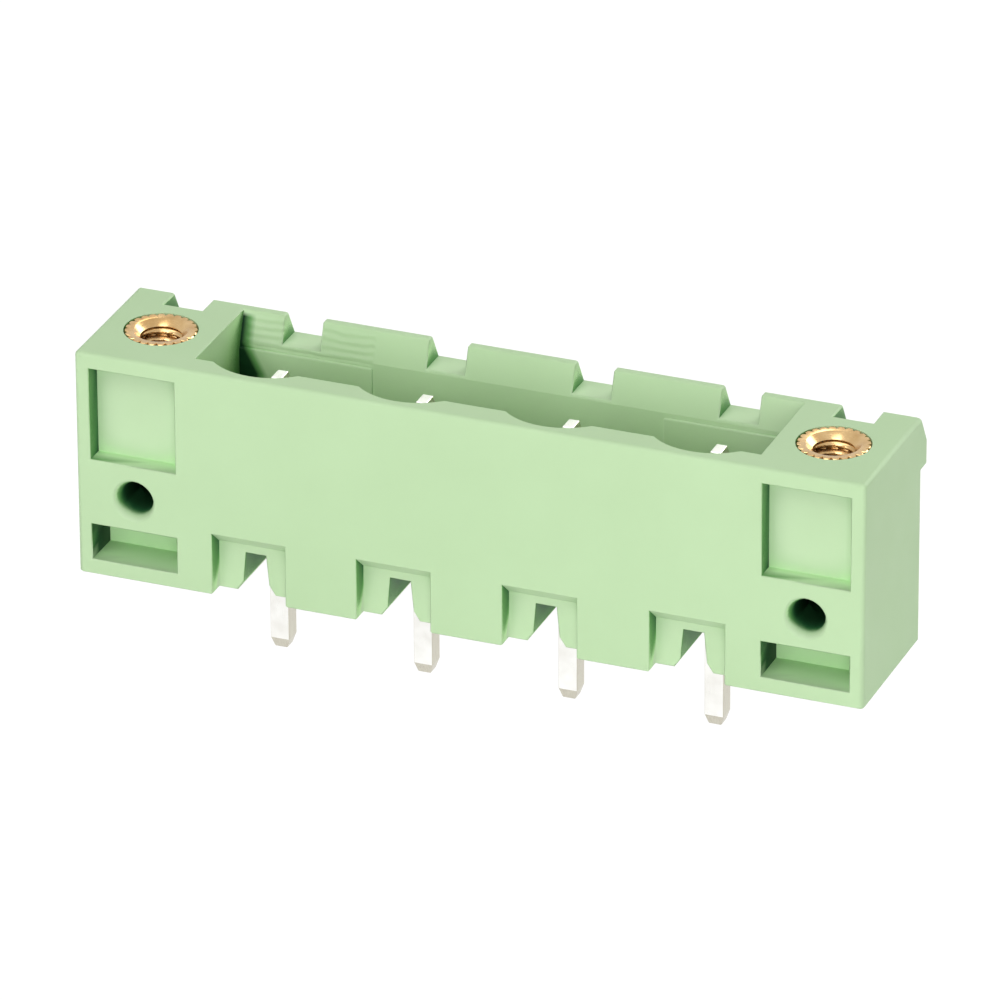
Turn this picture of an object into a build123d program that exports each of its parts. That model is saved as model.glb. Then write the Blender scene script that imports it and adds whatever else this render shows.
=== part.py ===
"""Board header for a pluggable terminal block: four poles, upright, with two threaded flanges.

Frame: millimetres. The origin is the middle of the pin row on the circuit board's surface. +X runs
along the row, +Y points to the latching side and +Z points up, out of the mouth for the plug.
"""
import os
from math import cos, radians

from build123d import *

# Pole row
POLE_COUNT = 4
POLE_PITCH = 7.62

# Housing block
HOUSING_HEIGHT = 12.0
HOUSING_DEPTH = 7.9
FRONT_TO_PIN_ROW = 4.3
END_POLE_TO_END_FACE = 9.04
EDGE_ROUNDING = 0.22
EDGE_BREAK = 0.08

# Plug cavity
CAVITY_FLOOR_HEIGHT = 3.5
FRONT_WALL = 1.42
BACK_WALL = 1.0
SCALLOP_RADIUS = 3.2
SCALLOP_WALL = 0.55
LEAD_IN_DEPTH = 1.55
LEAD_IN_RELIEF = 0.55
END_STEP = 0.12
END_STEP_DROP = 1.8

# Latch ledge along the back, under a ramp from the top
LEDGE_REACH = 0.85
LEDGE_RAMP_DROP = 1.5
LEDGE_THICKNESS = 1.35

# Notches in the back wall
NOTCH_DEPTH = 1.4
POLE_NOTCH_WIDTH = 2.0
FLANGE_NOTCH_WIDTH = 2.05
FLANGE_NOTCH_REACH = 1.47
NOTCH_CORNER_RADIUS = 0.12

# Recess under the front wall at each pole, and the slot that runs back from it
RECESS_WIDTH = 3.85
RECESS_HEIGHT = 3.35
RECESS_DEPTH = 0.95
RECESS_CEILING_DROP = 0.8
SLOT_TOP_WIDTH = 1.04
SLOT_FOOT_WIDTH = 1.34
SLOT_MOUTH_WIDTH = 2.0
SLOT_HEIGHT = 2.1
SLOT_CHAMFER_HEIGHT = 0.5

# Flange ends
END_POLE_TO_SCREW = 6.05
FRONT_TO_SCREW = 3.79
FLANGE_POCKET_WIDTH = 4.5
UPPER_POCKET_TOP_DROP = 0.85
UPPER_POCKET_HEIGHT = 4.9
UPPER_POCKET_DEPTH = 1.05
LOWER_POCKET_BOTTOM = 0.82
LOWER_POCKET_HEIGHT = 1.9
LOWER_POCKET_DEPTH = 2.2
CROSS_HOLE_HEIGHT = 4.35
CROSS_HOLE_DIAMETER = 1.72
CROSS_HOLE_MOUTH_DIAMETER = 2.2
CROSS_HOLE_MOUTH_DEPTH = 0.5

# Threaded inserts
INSERT_DIAMETER = 3.6
INSERT_LENGTH = 5.5
INSERT_CLEARANCE = 0.05
THREAD_MINOR_DIAMETER = 2.05
THREAD_MOUTH_DIAMETER = 2.7
THREAD_EXIT_DIAMETER = 2.45
KNURL_TEETH = 24
KNURL_GAP_WIDTH = 0.24
KNURL_GAP_DEPTH = 0.17
KNURL_WAIST_WIDTH = 0.8
KNURL_WAIST_DEPTH = 0.3
SCREW_RUNOUT_DIAMETER = 2.8
SCREW_RUNOUT_DEPTH = 3.0

# Contact pins
PIN_WIDTH = 1.0
PIN_TOP_HEIGHT = 10.4
PIN_SOLDER_REACH = 4.4
PLUG_TAPER_LENGTH = 0.85
PLUG_TIP_WIDTH = 0.56
PLUG_TIP_DEPTH = 0.94
SOLDER_TAPER_LENGTH = 0.55
SOLDER_TIP_WIDTH = 0.66
PIN_CLEARANCE = 0.01

# Distance that every cutter runs past the surface it opens
OVERRUN = 1.0

# How far from an edge a corner is probed, and the least angle that counts as one
CORNER_PROBE = 0.01
LEAST_CORNER_ANGLE = 25

# Distance within which two places count as one
SAME_PLACE = 0.001

FRONT = -FRONT_TO_PIN_ROW
BACK = FRONT + HOUSING_DEPTH
POLES = [(i - (POLE_COUNT - 1) / 2) * POLE_PITCH for i in range(POLE_COUNT)]
SCREWS = [POLES[0] - END_POLE_TO_SCREW, POLES[-1] + END_POLE_TO_SCREW]
HALF_LENGTH = POLES[-1] + END_POLE_TO_END_FACE
CAVITY_HALF_LENGTH = POLES[-1] + SCALLOP_RADIUS
CAVITY_FRONT = FRONT + FRONT_WALL
CAVITY_BACK = BACK - BACK_WALL
SCREW_LINE = FRONT + FRONT_TO_SCREW
INSERT_SEAT_HEIGHT = HOUSING_HEIGHT - INSERT_LENGTH
NOTCH_FLOOR = HOUSING_HEIGHT - NOTCH_DEPTH


def along_row(outline, length, centre=0.0):
    """Prism with a (y, z) outline, of the given length along X."""
    face = make_face(Polyline(*outline, close=True))
    return Pos(centre, 0, 0) * extrude(Plane.YZ * face, amount=length / 2, both=True)


def front_to_back(face, near, far):
    """Prism of a face drawn in (x, z), from the plane y = near to the plane y = far."""
    return Pos(0, far, 0) * extrude(Plane.XZ * face, amount=far - near)


def upright(face, low, high):
    """Prism of a face drawn in (x, y), from z = low to z = high."""
    return Pos(0, 0, low) * extrude(face, amount=high - low)


def framed(left, right, low, high):
    """Rectangle given by its four sides."""
    return Pos((left + right) / 2, (low + high) / 2) * Rectangle(right - left, high - low)


def at_place(edges, axis, place):
    """The edges of a list whose middle lies at one place along an axis."""
    return edges.filter_by_position(axis, place - SAME_PLACE, place + SAME_PLACE)


def housing_block():
    """Solid block with the latch ledge and its ramp, before anything is cut from it."""
    ledge = BACK + LEDGE_REACH
    ledge_top = HOUSING_HEIGHT - LEDGE_RAMP_DROP
    outline = [
        (FRONT, 0),
        (BACK, 0),
        (BACK, ledge_top - LEDGE_THICKNESS),
        (ledge, ledge_top - LEDGE_THICKNESS),
        (ledge, ledge_top),
        (BACK, HOUSING_HEIGHT),
        (FRONT, HOUSING_HEIGHT),
    ]
    block = along_row(outline, 2 * HALF_LENGTH)
    front_edges = at_place(block.edges(), Axis.Y, FRONT)
    top_and_sides = front_edges.filter_by_position(Axis.Z, OVERRUN, HOUSING_HEIGHT + OVERRUN)
    end_tops = at_place(block.edges().filter_by(Axis.Y), Axis.Z, HOUSING_HEIGHT)
    return fillet(top_and_sides + end_tops, EDGE_ROUNDING)


def end_steps():
    """Shallow steps low on the cavity's back wall, outwards from half-way between the last two poles."""
    inner = (POLES[-2] + POLES[-1]) / 2
    plan = framed(inner, CAVITY_HALF_LENGTH, CAVITY_BACK - END_STEP, CAVITY_BACK)
    step = upright(plan, CAVITY_FLOOR_HEIGHT, HOUSING_HEIGHT - END_STEP_DROP)
    return step + mirror(step, Plane.YZ)


def plug_cavity():
    """Space for the plug: a long box that ends flush with the outer of its round scallops."""
    plan = framed(-CAVITY_HALF_LENGTH, CAVITY_HALF_LENGTH, CAVITY_FRONT, CAVITY_BACK)
    scallop_centre = FRONT + SCALLOP_WALL + SCALLOP_RADIUS
    front_half = framed(-SCALLOP_RADIUS, SCALLOP_RADIUS, FRONT, scallop_centre)
    scallop = Pos(0, scallop_centre) * Circle(SCALLOP_RADIUS) & front_half
    for x in POLES:
        plan += Pos(x, 0) * scallop
    return upright(plan, CAVITY_FLOOR_HEIGHT, HOUSING_HEIGHT + OVERRUN) - end_steps()


def lead_in():
    """Slope at the top of the cavity's back wall, which guides the plug in."""
    middle = (CAVITY_FRONT + CAVITY_BACK) / 2
    start = HOUSING_HEIGHT - LEAD_IN_DEPTH
    slope = LEAD_IN_RELIEF / LEAD_IN_DEPTH
    outline = [
        (middle, start),
        (CAVITY_BACK, start),
        (CAVITY_BACK + LEAD_IN_RELIEF + slope * OVERRUN, HOUSING_HEIGHT + OVERRUN),
        (middle, HOUSING_HEIGHT + OVERRUN),
    ]
    return along_row(outline, 2 * CAVITY_HALF_LENGTH)


def notch_face(width):
    """Notch seen from the front, with rounded shoulders where it meets the top."""
    half = width / 2
    radius = NOTCH_CORNER_RADIUS
    shoulder = HOUSING_HEIGHT - radius
    inset = radius * (1 - cos(radians(45)))
    sides = []
    for side in (-1, 1):
        wall_x = side * half
        top_x = side * (half + radius)
        arc_middle = (side * (half + inset), HOUSING_HEIGHT - inset)
        wall = Line((wall_x, NOTCH_FLOOR), (wall_x, shoulder))
        arc = ThreePointArc((wall_x, shoulder), arc_middle, (top_x, HOUSING_HEIGHT))
        rise = Line((top_x, HOUSING_HEIGHT), (top_x, HOUSING_HEIGHT + OVERRUN))
        sides += [wall, arc, rise]
    floor = Line((-half, NOTCH_FLOOR), (half, NOTCH_FLOOR))
    lid = Line((-half - radius, HOUSING_HEIGHT + OVERRUN), (half + radius, HOUSING_HEIGHT + OVERRUN))
    return make_face(sides + [floor, lid])


def wall_notches():
    """Notches that part the back wall into tongues at the poles, and those behind the screws."""
    far = BACK + LEDGE_REACH + OVERRUN
    pole_notch = front_to_back(notch_face(POLE_NOTCH_WIDTH), CAVITY_BACK - OVERRUN, far)
    flange_notch = front_to_back(notch_face(FLANGE_NOTCH_WIDTH), BACK - FLANGE_NOTCH_REACH, far)
    return [Pos(x, 0, 0) * pole_notch for x in POLES] + [Pos(x, 0, 0) * flange_notch for x in SCREWS]


def pole_recess():
    """Step under the front wall with a ceiling that slopes down inwards."""
    ceiling_slope = RECESS_CEILING_DROP / RECESS_DEPTH
    outline = [
        (FRONT - OVERRUN, -OVERRUN),
        (FRONT + RECESS_DEPTH, -OVERRUN),
        (FRONT + RECESS_DEPTH, RECESS_HEIGHT - RECESS_CEILING_DROP),
        (FRONT - OVERRUN, RECESS_HEIGHT + ceiling_slope * OVERRUN),
    ]
    return along_row(outline, RECESS_WIDTH)


def pin_slot():
    """Slot round the pin, open at the board, that widens downwards and has a chamfered mouth."""
    right = [
        (SLOT_TOP_WIDTH / 2, SLOT_HEIGHT),
        (SLOT_FOOT_WIDTH / 2, SLOT_CHAMFER_HEIGHT),
        (SLOT_MOUTH_WIDTH / 2, 0),
        (SLOT_MOUTH_WIDTH / 2, -OVERRUN),
    ]
    left = [(-x, z) for x, z in reversed(right)]
    face = make_face(Polyline(*right, *left, close=True))
    return front_to_back(face, FRONT - OVERRUN, BACK + OVERRUN)


def pin_hole():
    """Square hole through the cavity floor that holds a pin."""
    width = PIN_WIDTH + 2 * PIN_CLEARANCE
    return upright(Rectangle(width, width), 0, CAVITY_FLOOR_HEIGHT + OVERRUN)


def flange_pockets():
    """The two pockets and the cross hole in the front of a flange end, at the screw's x."""
    half = FLANGE_POCKET_WIDTH / 2
    upper_top = HOUSING_HEIGHT - UPPER_POCKET_TOP_DROP
    upper_face = framed(-half, half, upper_top - UPPER_POCKET_HEIGHT, upper_top)
    lower_face = framed(-half, half, LOWER_POCKET_BOTTOM, LOWER_POCKET_BOTTOM + LOWER_POCKET_HEIGHT)
    upper = front_to_back(upper_face, FRONT - OVERRUN, FRONT + UPPER_POCKET_DEPTH)
    lower = front_to_back(lower_face, FRONT - OVERRUN, FRONT + LOWER_POCKET_DEPTH)
    centre = Pos(0, CROSS_HOLE_HEIGHT)
    hole = front_to_back(centre * Circle(CROSS_HOLE_DIAMETER / 2), FRONT - OVERRUN, SCREW_LINE)
    mouth_radius = CROSS_HOLE_MOUTH_DIAMETER / 2
    cone = Cone(CROSS_HOLE_DIAMETER / 2, mouth_radius, CROSS_HOLE_MOUTH_DEPTH)
    mouth = Pos(0, FRONT + CROSS_HOLE_MOUTH_DEPTH / 2, CROSS_HOLE_HEIGHT) * Rot(90, 0, 0) * cone
    return [upper, lower, hole, mouth]


def insert_bore():
    """Bore for an insert, its flat seat, and the run-out for the screw's end below it."""
    bore_radius = INSERT_DIAMETER / 2 + INSERT_CLEARANCE
    bore = upright(Circle(bore_radius), INSERT_SEAT_HEIGHT, HOUSING_HEIGHT + OVERRUN)
    runout_bottom = INSERT_SEAT_HEIGHT - SCREW_RUNOUT_DEPTH
    runout = upright(Circle(SCREW_RUNOUT_DIAMETER / 2), runout_bottom, INSERT_SEAT_HEIGHT + OVERRUN)
    return Pos(0, SCREW_LINE, 0) * (bore + runout)


def outer_corners(solid):
    """Edges at which two faces of a solid meet at a corner that sticks out."""
    faces_at = {}
    for face in solid.faces():
        for edge in face.edges():
            faces_at.setdefault(edge, []).append(face)
    corners = []
    for edge, faces in faces_at.items():
        middle = edge @ 0.5
        first = faces[0].normal_at(middle)
        second = faces[-1].normal_at(middle)
        beside = middle - first * CORNER_PROBE + second * CORNER_PROBE / 2
        if first.get_angle(second) > LEAST_CORNER_ANGLE and not solid.is_inside(beside):
            corners.append(edge)
    return corners


def corner_break():
    """How far corners are broken: no more than the strips beside a cross hole's mouth leave room for."""
    mouth_radius = CROSS_HOLE_MOUTH_DIAMETER / 2
    lower_pocket_top = LOWER_POCKET_BOTTOM + LOWER_POCKET_HEIGHT
    upper_pocket_bottom = HOUSING_HEIGHT - UPPER_POCKET_TOP_DROP - UPPER_POCKET_HEIGHT
    strip_below = CROSS_HOLE_HEIGHT - mouth_radius - lower_pocket_top
    strip_above = upper_pocket_bottom - CROSS_HOLE_HEIGHT - mouth_radius
    strips = [strip for strip in (strip_below, strip_above) if strip > 0]
    return min([EDGE_BREAK] + [strip / 3 for strip in strips])


def break_corners(body):
    """The body with its corners broken, except where a flange notch ends in round shoulders."""
    left_sharp = at_place(body.edges().filter_by(Axis.X), Axis.Y, BACK - FLANGE_NOTCH_REACH)
    broken = [edge for edge in outer_corners(body) if edge not in left_sharp]
    return chamfer(broken, corner_break())


def make_housing():
    """The moulded housing, one piece. Its bores for pins and inserts keep sharp mouths."""
    housing = housing_block() - plug_cavity() - lead_in()
    for notch in wall_notches():
        housing -= notch
    for x in POLES:
        for cutter in (pole_recess(), pin_slot()):
            housing -= Pos(x, 0, 0) * cutter
    for x in SCREWS:
        for cutter in flange_pockets():
            housing -= Pos(x, 0, 0) * cutter
    housing = break_corners(housing.solid())
    for x in POLES:
        housing -= Pos(x, 0, 0) * pin_hole()
    for x in SCREWS:
        housing -= Pos(x, 0, 0) * insert_bore()
    return housing


def make_pin(x):
    """Square contact pin, wedge-shaped at the plug end and tapered all round at the solder end."""
    shank_top = PIN_TOP_HEIGHT - PLUG_TAPER_LENGTH
    shank_bottom = SOLDER_TAPER_LENGTH - PIN_SOLDER_REACH
    section = Rectangle(PIN_WIDTH, PIN_WIDTH)
    plug_tip = Rectangle(PLUG_TIP_WIDTH, PLUG_TIP_DEPTH)
    solder_tip = Rectangle(SOLDER_TIP_WIDTH, SOLDER_TIP_WIDTH)
    shank = upright(section, shank_bottom, shank_top)
    upper = loft([Pos(0, 0, shank_top) * section, Pos(0, 0, PIN_TOP_HEIGHT) * plug_tip])
    lower = loft([Pos(0, 0, -PIN_SOLDER_REACH) * solder_tip, Pos(0, 0, shank_bottom) * section])
    return Pos(x, 0, 0) * (shank + upper + lower)


def knurl_gap(outer):
    """V-shaped gap between two knurl teeth, as wide as it should be at the outer radius."""
    apex = outer - KNURL_GAP_DEPTH
    beyond = outer + KNURL_GAP_DEPTH
    outline = [(apex, 0), (beyond, -KNURL_GAP_WIDTH), (beyond, KNURL_GAP_WIDTH)]
    return upright(make_face(Polyline(*outline, close=True)), -OVERRUN, INSERT_LENGTH + OVERRUN)


def make_insert(x):
    """Threaded insert: a turned bush with a plain waist between two bands of straight knurl."""
    outer = INSERT_DIAMETER / 2
    bore = THREAD_MINOR_DIAMETER / 2
    mouth = THREAD_MOUTH_DIAMETER / 2
    foot = THREAD_EXIT_DIAMETER / 2
    waist_low = (INSERT_LENGTH - KNURL_WAIST_WIDTH) / 2
    waist_high = waist_low + KNURL_WAIST_WIDTH
    section = [
        (foot, 0),
        (outer, 0),
        (outer, waist_low),
        (outer - KNURL_WAIST_DEPTH, waist_low),
        (outer - KNURL_WAIST_DEPTH, waist_high),
        (outer, waist_high),
        (outer, INSERT_LENGTH),
        (mouth, INSERT_LENGTH),
        (bore, INSERT_LENGTH - (mouth - bore)),
        (bore, foot - bore),
    ]
    bush = revolve(Plane.XZ * make_face(Polyline(*section, close=True)), Axis.Z)
    gap = knurl_gap(outer)
    for i in range(KNURL_TEETH):
        bush -= Rot(0, 0, i * 360 / KNURL_TEETH) * gap
    return Pos(x, SCREW_LINE, INSERT_SEAT_HEIGHT) * bush


os.makedirs("parts", exist_ok=True)
export_step(make_housing(), "parts/housing.step")
for number, x in enumerate(POLES, start=1):
    export_step(make_pin(x), f"parts/pin_{number}.step")
for side, x in zip(("left", "right"), SCREWS):
    export_step(make_insert(x), f"parts/insert_{side}.step")
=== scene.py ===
from math import cos, pi, radians, sin, tau

import bmesh
import bpy
from mathutils import Euler, Matrix, Vector


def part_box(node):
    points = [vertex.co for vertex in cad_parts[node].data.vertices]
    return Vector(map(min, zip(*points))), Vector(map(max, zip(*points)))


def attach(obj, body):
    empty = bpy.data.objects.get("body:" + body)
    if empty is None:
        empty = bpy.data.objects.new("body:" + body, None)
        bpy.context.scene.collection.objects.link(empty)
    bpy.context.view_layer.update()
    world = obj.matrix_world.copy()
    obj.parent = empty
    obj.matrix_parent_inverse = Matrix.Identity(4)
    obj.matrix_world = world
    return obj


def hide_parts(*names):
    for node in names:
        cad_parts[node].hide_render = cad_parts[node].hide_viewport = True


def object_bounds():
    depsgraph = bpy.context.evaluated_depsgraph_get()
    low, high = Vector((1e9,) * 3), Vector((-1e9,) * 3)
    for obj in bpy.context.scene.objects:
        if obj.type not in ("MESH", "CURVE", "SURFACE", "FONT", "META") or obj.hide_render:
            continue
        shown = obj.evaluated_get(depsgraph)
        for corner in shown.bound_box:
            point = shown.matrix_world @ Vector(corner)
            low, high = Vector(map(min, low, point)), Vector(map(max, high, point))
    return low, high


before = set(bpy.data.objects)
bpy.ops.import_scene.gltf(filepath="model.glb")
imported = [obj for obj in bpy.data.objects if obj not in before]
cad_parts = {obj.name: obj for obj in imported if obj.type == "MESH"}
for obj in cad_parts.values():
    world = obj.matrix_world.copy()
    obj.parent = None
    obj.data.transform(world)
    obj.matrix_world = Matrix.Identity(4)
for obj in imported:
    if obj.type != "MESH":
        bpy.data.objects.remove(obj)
cad_low, cad_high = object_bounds()

MM = 0.001

# Camera, as the photograph was taken
CAMERA_AZIMUTH = radians(21.763)
CAMERA_ELEVATION = radians(26.437)
CAMERA_ROLL = radians(-0.287)
CAMERA_DISTANCE = 505.85 * MM
CAMERA_AIM = Vector((0.4489, -0.8726, 6.0674)) * MM
CAMERA_LENS = 375.47
SENSOR_WIDTH = 36.0

# Broken corners of the moulding are shaded round, and the pins' edges are rounded
MERGE_DISTANCE = 0.0002 * MM
FLAT_ANGLE = radians(0.5)
NARROW_FACE = 0.13 * MM
GENTLE_ANGLE = radians(14)
CORNER_ANGLE = radians(62)
CORNER_WEIGHT = 90
PIN_EDGE = 0.06 * MM
EDGE_ANGLE = radians(28)

# Threaded inserts: thread, knurl and the steps of their mesh
THREAD_PITCH = 0.45 * MM
THREAD_MAJOR_RADIUS = 1.25 * MM
THREAD_MINOR_RADIUS = 1.025 * MM
THREAD_STEEPNESS = 1.25
THREAD_RUNOUT_TURNS = 0.6
MOUTH_RADIUS = 1.35 * MM
EXIT_RADIUS = 1.225 * MM
KNURL_TEETH = 24
KNURL_GAP_WIDTH = 0.24 * MM
KNURL_GAP_DEPTH = 0.17 * MM
KNURL_WAIST_WIDTH = 0.8 * MM
KNURL_WAIST_DEPTH = 0.3 * MM
INSERT_EDGE = 0.04 * MM
INSERT_SHARP_ANGLE = radians(35)
STEPS_PER_TOOTH = 12
ROWS_PER_TURN = 14

# Green plastic: linear colours, and scales in features a metre
PLASTIC_DARK = (0.490, 0.675, 0.402, 1.0)
PLASTIC_LIGHT = (0.510, 0.700, 0.422, 1.0)
PLASTIC_ROUGHNESS = (0.42, 0.52)
PLASTIC_SPECULAR = 0.2
FLOW_SCALE = 140
GLOSS_SCALE = 420
GRAIN_SCALE = 9000
GRAIN_HEIGHT = 0.004 * MM
UNEVEN_SCALE = 350
UNEVEN_HEIGHT = 0.02 * MM

# Painted shade and light on the moulding's holes and pockets, multiplied into the green: (openness, share
# of each channel), on faces that are turned from the main light and on the others. Turned faces are
# painted darker the more enclosed they are and a little lighter where fairly open; the others are painted
# lighter where enclosed
SHELTER_REACH = 4.8 * MM
SHELTER_SAMPLES = 16
TURNED_PAINTED_SHADE_AND_LIGHT_STOPS = [
    (0.22, (0.02, 0.07, 0.04, 1.0)),
    (0.32, (0.03, 0.14, 0.08, 1.0)),
    (0.48, (0.20, 0.42, 0.20, 1.0)),
    (0.63, (0.38, 0.62, 0.35, 1.0)),
    (0.68, (1.22, 1.32, 1.15, 1.0)),
    (0.92, (1.0, 1.0, 1.0, 1.0)),
]
# Painted light on enclosed faces that point towards the main light
LIT_PAINTED_LIGHT_STOPS = [
    (0.25, (1.04, 1.18, 1.02, 1.0)),
    (0.50, (1.0, 1.02, 1.0, 1.0)),
    (0.60, (1.0, 0.99, 1.02, 1.0)),
    (0.74, (1.10, 1.05, 1.12, 1.0)),
    (0.95, (1.0, 1.0, 1.0, 1.0)),
]
MAIN_LIGHT = (-0.5, -0.8, 0.33)
TURNED_AWAY = (-0.1, 0.2)

# Way over which a change of look fades at the side of a box
BOX_FADE = 0.2 * MM

# The round cross holes through the end blocks, painted in shade on all sides: the box is of places
# without their signs, so that it holds for both
HOLE_BOX = ((15.6 * MM, 19.4 * MM), (-5.0 * MM, 4.0 * MM), (3.2 * MM, 5.6 * MM))
HOLE_CLOSED = (0.52, 0.40)

# A painted shadow on the deep corner of the cavity's back wall, at the left end only: (nearness, share of
# each channel). It widens from the foot of the lead-in slope down, and it leaves out what faces along the
# row
CORNER_SHADOW_STOPS = [
    (0.0, (1.0, 1.0, 1.0, 1.0)),
    (0.5, (0.30, 0.52, 0.29, 1.0)),
    (1.0, (0.01, 0.05, 0.03, 1.0)),
]
CORNER_FROM_X = (-13.9 * MM, -14.55 * MM)
CORNER_WIDENS_Z = (10.4 * MM, 8.9 * MM)
CORNER_WIDENS_BY = 0.8 * MM
CORNER_FACING_X = (0.6, 0.3)
CORNER_BOX = ((-14.7 * MM, -12.4 * MM), (1.5 * MM, 3.4 * MM), (3.0 * MM, 11.65 * MM))

# Tool marks on the lead-in slope of the left tongues
RIDGE_PITCH = 0.38 * MM
RIDGE_HEIGHT = 0.02 * MM
RIDGE_WAVER = 0.9
RIDGE_WAVER_SCALE = 600
RIDGE_BOX = ((-14.2 * MM, -7.7 * MM), (2.2 * MM, 3.0 * MM), (10.4 * MM, 12.1 * MM))

# Pins: plated faces, and painted shade, tinted beige, on the sides and tips that face sideways or down
TIN_DARK = (240, 238, 233)
TIN_LIGHT = (255, 254, 251)
SIDE_SHADE_DARK = (198, 193, 178)
SIDE_SHADE_LIGHT = (212, 208, 194)
SIDE_SHADE_FACING_X = (0.4, 0.6)
SIDE_SHADE_FACING_Z = (-0.1, -0.3)
TIN_ROUGHNESS = (0.26, 0.4)
TIN_CLOUD_SCALE = 900
DRAWING_SCALE = 16000
DRAWING_STRETCH = (1.0, 1.0, 0.04)
DRAWING_HEIGHT = 0.003 * MM

# Brass, and painted shade in its gaps
BRASS_DARK = (186, 150, 98)
BRASS_LIGHT = (216, 184, 134)
BRASS_ROUGHNESS = (0.18, 0.3)
BRASS_CLOUD_SCALE = 1200
TURNING_SCALE = 20000
TURNING_STRETCH = (0.05, 0.05, 1.0)
TURNING_HEIGHT = 0.003 * MM
GAP_REACH = 0.3 * MM
GAP_SAMPLES = 6
GAP_SHADE_STOPS = [(0.35, (0.16, 0.09, 0.04, 1.0)), (0.75, (1.0, 1.0, 1.0, 1.0))]

# Floor and background
FLOOR_SIZE = 3.0
FLOOR_WHITE = 0.95
BACKGROUND_SHARE = 0.9
BACKGROUND_GLOW = 1.08
WORLD_STRENGTH = 1.0

# White lamps: name, azimuth, elevation and power, all of one size and at one distance from the object
LAMP_DISTANCE = 0.6
LAMP_SIZE = 0.3
LAMPS = [
    ("front", -5, 15, 0.5),
    ("front_right", 20, 15, 1.4),
    ("key", -32, 38, 0.75),
    ("high", 0, 60, 0.99),
    ("side", 60, 10, 0.26),
    ("back_high", 175, 55, 0.98),
    ("back_right", 150, 25, 1.68),
]


def linear(red, green, blue):
    """Linear colour with alpha from sRGB values of 0 to 255."""
    def channel(value):
        share = value / 255
        return share / 12.92 if share <= 0.04045 else ((share + 0.055) / 1.055) ** 2.4
    return (channel(red), channel(green), channel(blue), 1.0)


def camera_turn():
    """Rotation of the camera: it looks level along +Y at azimuth 0 and down as elevation grows."""
    tilt = Euler((pi / 2 - CAMERA_ELEVATION, 0, CAMERA_AZIMUTH)).to_matrix()
    return tilt @ Matrix.Rotation(CAMERA_ROLL, 3, "Z")


def make_camera():
    """The camera with the photograph's perspective."""
    data = bpy.data.cameras.new("camera")
    data.sensor_fit = "HORIZONTAL"
    data.sensor_width = SENSOR_WIDTH
    data.lens = CAMERA_LENS
    data.clip_start = 0.01
    camera = bpy.data.objects.new("camera", data)
    turn = camera_turn()
    place = CAMERA_AIM + turn @ Vector((0, 0, CAMERA_DISTANCE))
    camera.matrix_world = Matrix.Translation(place) @ turn.to_4x4()
    bpy.context.scene.collection.objects.link(camera)
    bpy.context.scene.camera = camera


def new_material(name):
    """A new material with its node tree, its shader and the object's own coordinates in metres."""
    material = bpy.data.materials.new(name)
    material.use_nodes = True
    tree = material.node_tree
    position = tree.nodes.new("ShaderNodeTexCoord").outputs["Object"]
    return material, tree, tree.nodes["Principled BSDF"], position


def add_node(tree, kind, **inputs):
    """A node with its inputs set by name, where spaces in names are written as underscores."""
    node = tree.nodes.new(kind)
    for name, value in inputs.items():
        node.inputs[name.replace("_", " ")].default_value = value
    return node


def noise(tree, position, scale, detail=2.0, roughness=0.5):
    """Noise over the object's own coordinates, scale in features a metre."""
    node = add_node(tree, "ShaderNodeTexNoise", Scale=scale, Detail=detail, Roughness=roughness)
    tree.links.new(position, node.inputs["Vector"])
    return node.outputs["Fac"]


def ramp(tree, value, stops):
    """Colour ramp over a value: stops are (place, colour)."""
    node = tree.nodes.new("ShaderNodeValToRGB")
    elements = node.color_ramp.elements
    while len(elements) < len(stops):
        elements.new(0.5)
    for element, (place, colour) in zip(elements, stops):
        element.position = place
        element.color = colour
    tree.links.new(value, node.inputs["Fac"])
    return node.outputs["Color"]


def soft_ramp(tree, value, first, second):
    """Soft change from one colour to another over the middle of a noise."""
    return ramp(tree, value, [(0.3, first), (0.7, second)])


def grey(value):
    """Opaque grey for a ramp that carries a number."""
    return (value, value, value, 1.0)


def bump(tree, shader, height, distance, strength, before=None):
    """Bump on a shader from a height, in metres, after an earlier bump if there is one."""
    node = add_node(tree, "ShaderNodeBump", Strength=strength, Distance=distance)
    tree.links.new(height, node.inputs["Height"])
    if before is not None:
        tree.links.new(before, node.inputs["Normal"])
    tree.links.new(node.outputs["Normal"], shader.inputs["Normal"])
    return node.outputs["Normal"]


def stretched(tree, position, scale):
    """The coordinates with each axis scaled, which draws a noise out along the axes scaled down."""
    node = add_node(tree, "ShaderNodeMapping", Scale=scale)
    tree.links.new(position, node.inputs["Vector"])
    return node.outputs["Vector"]


def multiply(tree, first, second):
    """Product of two colours."""
    node = tree.nodes.new("ShaderNodeMix")
    node.data_type = "RGBA"
    node.blend_type = "MULTIPLY"
    node.inputs["Factor"].default_value = 1.0
    tree.links.new(first, node.inputs[6])
    tree.links.new(second, node.inputs[7])
    return node.outputs[2]


def between(tree, value, ends):
    """Share from 0 to 1 of the way that a value has gone from one end to the other."""
    node = tree.nodes.new("ShaderNodeMapRange")
    node.inputs["From Min"].default_value, node.inputs["From Max"].default_value = ends
    tree.links.new(value, node.inputs["Value"])
    return node.outputs["Result"]


def combine(tree, operation, first, second):
    """Two numbers combined by an operation, where the second may be a constant."""
    node = tree.nodes.new("ShaderNodeMath")
    node.operation = operation
    tree.links.new(first, node.inputs[0])
    if isinstance(second, float):
        node.inputs[1].default_value = second
    else:
        tree.links.new(second, node.inputs[1])
    return node.outputs[0]


def mixed(tree, share, first, second):
    """First colour where the share is 0, second where it is 1."""
    node = tree.nodes.new("ShaderNodeMix")
    node.data_type = "RGBA"
    tree.links.new(share, node.inputs["Factor"])
    tree.links.new(first, node.inputs[6])
    tree.links.new(second, node.inputs[7])
    return node.outputs[2]


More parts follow.
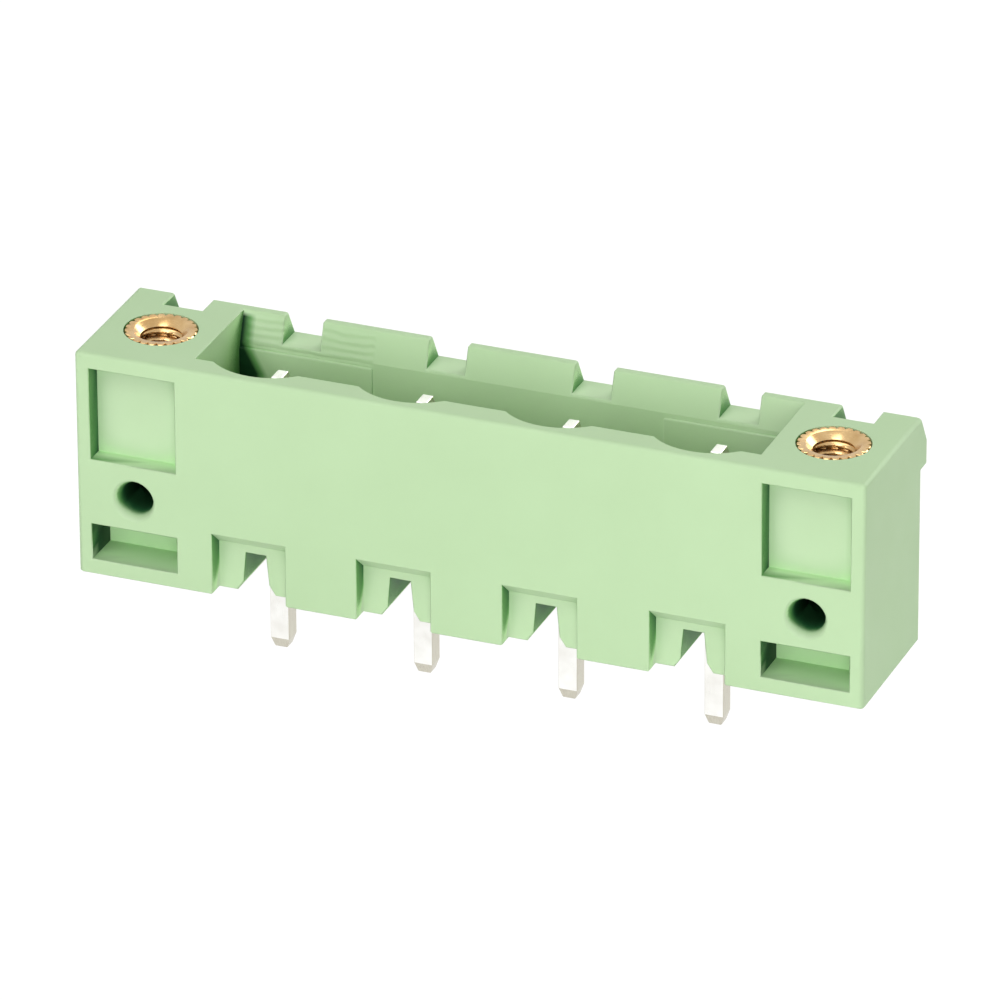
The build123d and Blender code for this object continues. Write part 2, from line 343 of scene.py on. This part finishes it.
def parts(tree, vector):
    """The three parts of a vector."""
    node = tree.nodes.new("ShaderNodeSeparateXYZ")
    tree.links.new(vector, node.inputs["Vector"])
    return node.outputs


def inside(tree, vector, box):
    """Share that is 1 in a box of places and falls to 0 over a short way around it."""
    place = parts(tree, vector)
    share = None
    for part, (low, high) in zip("XYZ", box):
        for ends in ((low - BOX_FADE, low), (high + BOX_FADE, high)):
            step = between(tree, place[part], ends)
            share = step if share is None else combine(tree, "MULTIPLY", share, step)
    return share


def normal(tree):
    """Direction that the surface faces."""
    return tree.nodes.new("ShaderNodeNewGeometry").outputs["Normal"]


def facing(tree):
    """How nearly a face points to the main light: 1 straight at it, 0 side-on, below 0 away from it."""
    dot = tree.nodes.new("ShaderNodeVectorMath")
    dot.operation = "DOT_PRODUCT"
    dot.inputs[1].default_value = MAIN_LIGHT
    tree.links.new(normal(tree), dot.inputs[0])
    return dot.outputs["Value"]


def openness(tree, reach, samples):
    """How open the surroundings of a point are as far as a reach, from 0 to 1."""
    node = add_node(tree, "ShaderNodeAmbientOcclusion", Distance=reach)
    node.samples = samples
    node.only_local = True
    return node.outputs["AO"]


def painted_corner_shadow(tree, position, plain):
    """The plain colour with a painted shadow in the deep left corner of the cavity's back wall."""
    place = parts(tree, position)
    widening = combine(tree, "MULTIPLY", between(tree, place["Z"], CORNER_WIDENS_Z), CORNER_WIDENS_BY)
    nearness = between(tree, combine(tree, "SUBTRACT", place["X"], widening), CORNER_FROM_X)
    off_end_wall = between(tree, parts(tree, normal(tree))["X"], CORNER_FACING_X)
    share = combine(tree, "MULTIPLY", inside(tree, position, CORNER_BOX), off_end_wall)
    # Painted shadow, darker towards the end wall and wider lower down
    return mixed(tree, share, plain, multiply(tree, plain, ramp(tree, nearness, CORNER_SHADOW_STOPS)))


def in_cross_hole(tree, position, sheltered):
    """Share from 0 to 1 that is 1 inside the cross holes, where painted shade goes on all sides."""
    mirrored = tree.nodes.new("ShaderNodeVectorMath")
    mirrored.operation = "ABSOLUTE"
    tree.links.new(position, mirrored.inputs[0])
    near = inside(tree, mirrored.outputs["Vector"], HOLE_BOX)
    return combine(tree, "MULTIPLY", near, between(tree, sheltered, HOLE_CLOSED))


def painted_shade_and_light(tree, position):
    """Painted shade and light in the holes, pockets and corners, as a colour to multiply by."""
    sheltered = openness(tree, SHELTER_REACH, SHELTER_SAMPLES)
    # Faces towards the main light are painted lighter where enclosed and carry the painted corner shadow;
    # faces turned away, and every face in the cross holes, are painted darker where deeply enclosed and a
    # little lighter where fairly open
    lit = painted_corner_shadow(tree, position, ramp(tree, sheltered, LIT_PAINTED_LIGHT_STOPS))
    turned = ramp(tree, sheltered, TURNED_PAINTED_SHADE_AND_LIGHT_STOPS)
    towards = between(tree, facing(tree), TURNED_AWAY)
    # Every face in the cross holes takes the turned faces' painted shade
    outside = between(tree, in_cross_hole(tree, position, sheltered), (1.0, 0.0))
    return mixed(tree, combine(tree, "MULTIPLY", towards, outside), turned, lit)


def ridges(tree, position):
    """Height of the wavering tool marks on the left tongues' slopes, from -1 to 1, and 0 elsewhere."""
    turns = combine(tree, "MULTIPLY", parts(tree, position)["Z"], tau / RIDGE_PITCH)
    waver = combine(tree, "MULTIPLY", noise(tree, position, RIDGE_WAVER_SCALE), tau * RIDGE_WAVER)
    wave = combine(tree, "SINE", combine(tree, "ADD", turns, waver), 0.0)
    return combine(tree, "MULTIPLY", wave, inside(tree, position, RIDGE_BOX))


def set_roughness(tree, shader, value, ends):
    """Roughness of a shader that changes with a noise from one value to another."""
    roughness = soft_ramp(tree, value, grey(ends[0]), grey(ends[1]))
    tree.links.new(roughness, shader.inputs["Roughness"])


def green_plastic():
    """Pale green moulded polyamide: a satin skin with a fine grain and soft flow mottling, multiplied by
    painted shade and light in its holes, pockets and corners.
    """
    material, tree, shader, position = new_material("green_plastic")
    flow = noise(tree, position, FLOW_SCALE, 3.0, 0.55)
    colour = soft_ramp(tree, flow, PLASTIC_DARK, PLASTIC_LIGHT)
    # The green is multiplied by painted shade and light in the holes, pockets and the cavity's left
    # corner
    tree.links.new(multiply(tree, colour, painted_shade_and_light(tree, position)), shader.inputs["Base Color"])
    set_roughness(tree, shader, noise(tree, position, GLOSS_SCALE), PLASTIC_ROUGHNESS)
    shader.inputs["Specular IOR Level"].default_value = PLASTIC_SPECULAR
    grain = bump(tree, shader, noise(tree, position, GRAIN_SCALE), GRAIN_HEIGHT, 0.5)
    soft = bump(tree, shader, noise(tree, position, UNEVEN_SCALE), UNEVEN_HEIGHT, 0.35, grain)
    bump(tree, shader, ridges(tree, position), RIDGE_HEIGHT, 1.0, soft)
    return material


def tin_plate():
    """Bright tin over copper alloy, with faint drawing lines along the pin and painted shade, tinted
    beige, on the faces turned sideways or down.
    """
    material, tree, shader, position = new_material("tin_plate")
    lines = noise(tree, stretched(tree, position, DRAWING_STRETCH), DRAWING_SCALE, 3.0)
    cloud = noise(tree, position, TIN_CLOUD_SCALE)
    plated = soft_ramp(tree, cloud, linear(*TIN_DARK), linear(*TIN_LIGHT))
    # Painted shade, tinted beige, on the faces turned sideways along the row or down
    side_shade = soft_ramp(tree, lines, linear(*SIDE_SHADE_DARK), linear(*SIDE_SHADE_LIGHT))
    looks = parts(tree, normal(tree))
    sideways = between(tree, combine(tree, "ABSOLUTE", looks["X"], 0.0), SIDE_SHADE_FACING_X)
    downwards = between(tree, looks["Z"], SIDE_SHADE_FACING_Z)
    shade_share = combine(tree, "MAXIMUM", sideways, downwards)
    tree.links.new(mixed(tree, shade_share, plated, side_shade), shader.inputs["Base Color"])
    set_roughness(tree, shader, lines, TIN_ROUGHNESS)
    shader.inputs["Metallic"].default_value = 1.0
    bump(tree, shader, lines, DRAWING_HEIGHT, 0.6)
    return material


def turned_brass():
    """Machined brass: warm, with fine turning rings, slightly darker patches and painted shade in the
    gaps.
    """
    material, tree, shader, position = new_material("turned_brass")
    cloud = noise(tree, position, BRASS_CLOUD_SCALE, 3.0)
    colour = soft_ramp(tree, cloud, linear(*BRASS_DARK), linear(*BRASS_LIGHT))
    # Painted shade in the knurl gaps and other enclosed places
    gaps = ramp(tree, openness(tree, GAP_REACH, GAP_SAMPLES), GAP_SHADE_STOPS)
    tree.links.new(multiply(tree, colour, gaps), shader.inputs["Base Color"])
    rings = noise(tree, stretched(tree, position, TURNING_STRETCH), TURNING_SCALE)
    set_roughness(tree, shader, rings, BRASS_ROUGHNESS)
    shader.inputs["Metallic"].default_value = 1.0
    bump(tree, shader, rings, TURNING_HEIGHT, 0.5)
    return material


def seen_directly(tree, share):
    """The given share for rays from the camera and from mirrors, and 0 for the rest."""
    rays = tree.nodes.new("ShaderNodeLightPath")
    seen = combine(tree, "MAXIMUM", rays.outputs["Is Camera Ray"], rays.outputs["Is Glossy Ray"])
    return combine(tree, "MULTIPLY", seen, share)


def pale_stage(name):
    """Matt white that the camera and mirrors see as the plain background, with a soft shadow kept."""
    material = bpy.data.materials.new(name)
    material.use_nodes = True
    tree = material.node_tree
    tree.nodes.clear()
    output = tree.nodes.new("ShaderNodeOutputMaterial")
    matt = add_node(tree, "ShaderNodeBsdfDiffuse", Color=grey(FLOOR_WHITE))
    glow = add_node(tree, "ShaderNodeEmission", Color=grey(1.0), Strength=BACKGROUND_GLOW)
    mix = tree.nodes.new("ShaderNodeMixShader")
    tree.links.new(seen_directly(tree, BACKGROUND_SHARE), mix.inputs["Fac"])
    tree.links.new(matt.outputs["BSDF"], mix.inputs[1])
    tree.links.new(glow.outputs["Emission"], mix.inputs[2])
    tree.links.new(mix.outputs["Shader"], output.inputs["Surface"])
    return material


def new_piece(name, mesh, material, slot, *nodes):
    """A finished mesh as a piece of the object that stands for CAD nodes."""
    piece = bpy.data.objects.new(name, mesh)
    bpy.context.scene.collection.objects.link(piece)
    mesh.materials.clear()
    mesh.materials.append(material)
    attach(piece, "root")
    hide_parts(*nodes)
    return piece


def apply_modifiers(piece):
    """Bakes the modifiers of a piece into its mesh."""
    depsgraph = bpy.context.evaluated_depsgraph_get()
    evaluated = piece.evaluated_get(depsgraph)
    mesh = bpy.data.meshes.new_from_object(evaluated)
    piece.modifiers.clear()
    piece.data = mesh


def is_narrow(face):
    """Whether a face is a strip no wider than a broken corner."""
    longest = max(edge.calc_length() for edge in face.edges)
    return face.calc_area() < NARROW_FACE * longest


def mark_corners(shape):
    """Keeps an edge crisp unless its fold is slight or it borders the strip of a broken corner."""
    for edge in shape.edges:
        fold = edge.calc_face_angle(pi)
        on_strip = fold < CORNER_ANGLE and any(is_narrow(face) for face in edge.link_faces)
        edge.smooth = fold < GENTLE_ANGLE or on_strip


def tidy_copy(node):
    """Copy of a CAD node's mesh with its triangles merged into flat faces."""
    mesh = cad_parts[node].data.copy()
    shape = bmesh.new()
    shape.from_mesh(mesh)
    bmesh.ops.remove_doubles(shape, verts=shape.verts, dist=MERGE_DISTANCE)
    bmesh.ops.dissolve_limit(shape, angle_limit=FLAT_ANGLE, verts=shape.verts, edges=shape.edges)
    for face in shape.faces:
        face.smooth = True
    mark_corners(shape)
    shape.to_mesh(mesh)
    shape.free()
    return mesh


def make_housing(material):
    """The moulding on the CAD shape, with its broken corners shaded as rounds."""
    piece = new_piece("housing_moulding", tidy_copy("housing"), material, "housing", "housing")
    weighting = piece.modifiers.new("corners", "WEIGHTED_NORMAL")
    weighting.mode = "FACE_AREA"
    weighting.weight = CORNER_WEIGHT
    weighting.keep_sharp = True
    apply_modifiers(piece)


def round_edges(piece):
    """Rounds every sharp edge of a pin a little."""
    bevel = piece.modifiers.new("edge", "BEVEL")
    bevel.width = PIN_EDGE
    bevel.segments = 2
    bevel.limit_method = "ANGLE"
    bevel.angle_limit = EDGE_ANGLE
    bevel.harden_normals = True
    apply_modifiers(piece)


def make_pins(material):
    """The contact pins with slightly rounded edges."""
    for node in sorted(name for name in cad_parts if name.startswith("pin_")):
        round_edges(new_piece(node + "_plated", tidy_copy(node), material, "contact", node))


def knurl_radius(angle, outer):
    """Radius of the knurled outside at an angle: V-shaped gaps between flat-topped teeth."""
    spacing = tau / KNURL_TEETH
    offset = abs((angle + spacing / 2) % spacing - spacing / 2) * outer
    half_gap = KNURL_GAP_WIDTH / 2
    depth = max(0.0, 1 - offset / half_gap) * KNURL_GAP_DEPTH
    return outer - depth


def thread_radius(angle, height, low, high):
    """Radius of the thread's surface, which fades out at both ends of the bore."""
    turn = (height / THREAD_PITCH - angle / tau) % 1.0
    flat = (THREAD_STEEPNESS - 1) / 2
    wave = min(1.0, max(0.0, THREAD_STEEPNESS * abs(2 * turn - 1) - flat))
    runout = THREAD_RUNOUT_TURNS * THREAD_PITCH
    fade = min(1.0, max(0.0, (height - low) / runout), max(0.0, (high - height) / runout))
    return THREAD_MINOR_RADIUS + (THREAD_MAJOR_RADIUS - THREAD_MINOR_RADIUS) * wave * fade


def insert_rows(outer, length):
    """Rows of (kind, radius, height) round the section of an insert, from its outer foot inwards."""
    edge = INSERT_EDGE
    waist_low = (length - KNURL_WAIST_WIDTH) / 2
    waist_high = waist_low + KNURL_WAIST_WIDTH
    waist = outer - KNURL_WAIST_DEPTH
    rows = [("plain", EXIT_RADIUS + edge, 0.0), ("rim", outer - edge, 0.0), ("knurl", outer, edge)]
    rows += [("knurl", outer, waist_low), ("plain", waist, waist_low), ("plain", waist, waist_high)]
    rows += [("knurl", outer, waist_high), ("knurl", outer, length - edge), ("rim", outer - edge, length)]
    rows += [("plain", MOUTH_RADIUS + edge, length), ("plain", MOUTH_RADIUS, length - edge / 2)]
    top = length - (MOUTH_RADIUS - THREAD_MINOR_RADIUS)
    bottom = EXIT_RADIUS - THREAD_MINOR_RADIUS
    count = round((top - bottom) / THREAD_PITCH * ROWS_PER_TURN)
    for i in range(count + 1):
        rows.append(("thread", 0.0, top + (bottom - top) * i / count))
    rows.append(("plain", EXIT_RADIUS, edge / 2))
    return rows, bottom, top


def row_radius(kind, radius, height, angle, ends):
    """Radius of one row of the insert at an angle."""
    if kind == "thread":
        return thread_radius(angle, height, *ends)
    if kind in ("knurl", "rim"):
        return knurl_radius(angle, radius)
    return radius


def insert_mesh(name, centre, outer, length):
    """Closed mesh of a threaded insert with real knurl teeth and a real helix."""
    rows, bottom, top = insert_rows(outer, length)
    steps = KNURL_TEETH * STEPS_PER_TOOTH
    shape = bmesh.new()
    rings = []
    for kind, radius, height in rows:
        ring = []
        for step in range(steps):
            angle = tau * step / steps
            reach = row_radius(kind, radius, height, angle, (bottom, top))
            place = Vector((reach * cos(angle), reach * sin(angle), height))
            ring.append(shape.verts.new(centre + place))
        rings.append(ring)
    for lower, upper in zip(rings, rings[1:] + rings[:1]):
        for step in range(steps):
            after = (step + 1) % steps
            shape.faces.new((lower[step], lower[after], upper[after], upper[step]))
    bmesh.ops.recalc_face_normals(shape, faces=shape.faces)
    mesh = bpy.data.meshes.new(name)
    shape.to_mesh(mesh)
    shape.free()
    mesh.shade_smooth()
    mesh.set_sharp_from_angle(angle=INSERT_SHARP_ANGLE)
    return mesh


def make_inserts(material):
    """The two threaded inserts."""
    for node in ("insert_left", "insert_right"):
        low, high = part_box(node)
        outer = (high.x - low.x) / 2
        centre = Vector(((low.x + high.x) / 2, (low.y + high.y) / 2, low.z))
        mesh = insert_mesh(node, centre, outer, high.z - low.z)
        new_piece(node + "_threaded", mesh, material, "insert", node)


def make_floor():
    """Pale floor under the pin tips, wide enough to fill every view."""
    half = FLOOR_SIZE / 2
    corners = [(-half, -half), (half, -half), (half, half), (-half, half)]
    mesh = bpy.data.meshes.new("floor")
    mesh.from_pydata([(x, y, cad_low[2]) for x, y in corners], [], [(0, 1, 2, 3)])
    floor = bpy.data.objects.new("floor", mesh)
    mesh.materials.append(pale_stage("pale_floor"))
    bpy.context.scene.collection.objects.link(floor)


def make_lamp(name, azimuth, elevation, power):
    """Square soft lamp that looks at the middle of the object."""
    data = bpy.data.lights.new(name, "AREA")
    data.shape = "SQUARE"
    data.size = LAMP_SIZE
    data.energy = power
    lamp = bpy.data.objects.new(name, data)
    turn = Euler((pi / 2 - radians(elevation), 0, radians(azimuth))).to_matrix()
    target = (Vector(cad_low) + Vector(cad_high)) / 2
    place = target + turn @ Vector((0, 0, LAMP_DISTANCE))
    lamp.matrix_world = Matrix.Translation(place) @ turn.to_4x4()
    bpy.context.scene.collection.objects.link(lamp)


def make_world():
    """White surroundings that the camera and mirrors see, and that light nothing themselves."""
    world = bpy.data.worlds.new("surroundings")
    world.use_nodes = True
    tree = world.node_tree
    background = tree.nodes["Background"]
    background.inputs["Color"].default_value = grey(1.0)
    tree.links.new(seen_directly(tree, WORLD_STRENGTH), background.inputs["Strength"])
    bpy.context.scene.world = world


make_camera()
make_housing(green_plastic())
make_pins(tin_plate())
make_inserts(turned_brass())
make_floor()
make_world()
for lamp in LAMPS:
    make_lamp(*lamp)
bpy.context.scene.view_settings.view_transform = "Standard"
